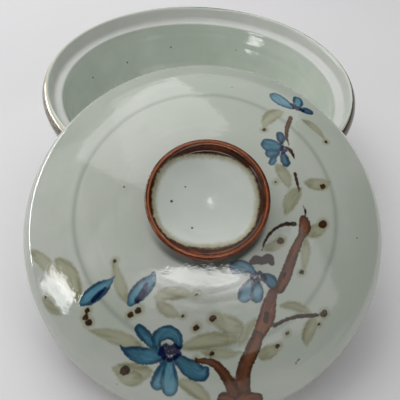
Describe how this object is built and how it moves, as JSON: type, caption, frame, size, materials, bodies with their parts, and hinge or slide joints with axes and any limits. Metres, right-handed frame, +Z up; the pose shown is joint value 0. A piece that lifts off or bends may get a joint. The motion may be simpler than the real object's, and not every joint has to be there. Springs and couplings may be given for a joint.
{
  "type": "covered rice bowl",
  "caption": "Shallow stoneware serving bowl on a foot ring, with an inner gallery and a loose domed lid with a dished ring knob, leaning on the rim.",
  "frame": {"origin": "middle of the set's footprint, on the table the bowl stands on", "axes": "+Z up; +Y from the leaning lid towards the bowl, along the set's length; X across"},
  "size_m": [0.22, 0.3259, 0.114],
  "materials": {
    "bowl_glaze": "gloss pale celadon glaze with an iron-brown rim and a matt bare gallery",
    "bare_stoneware": "matt unglazed stoneware",
    "lid_glaze": "gloss pale celadon glaze with a painted flowering branch",
    "knob_glaze": "gloss iron-brown glaze bleeding into a pale dish"
  },
  "bodies": {
    "bowl": {"bowl_body": "bowl_glaze", "bowl_foot": "bare_stoneware"},
    "lid": {"lid_dome": "lid_glaze", "lid_knob": "knob_glaze"}
  },
  "joints": [
    {"name": "lid_lift", "type": "slide", "parent": "bowl", "child": "lid", "axis": [0, -0.4672, 0.8842], "range_m": [0, 0.15]}
  ]
}
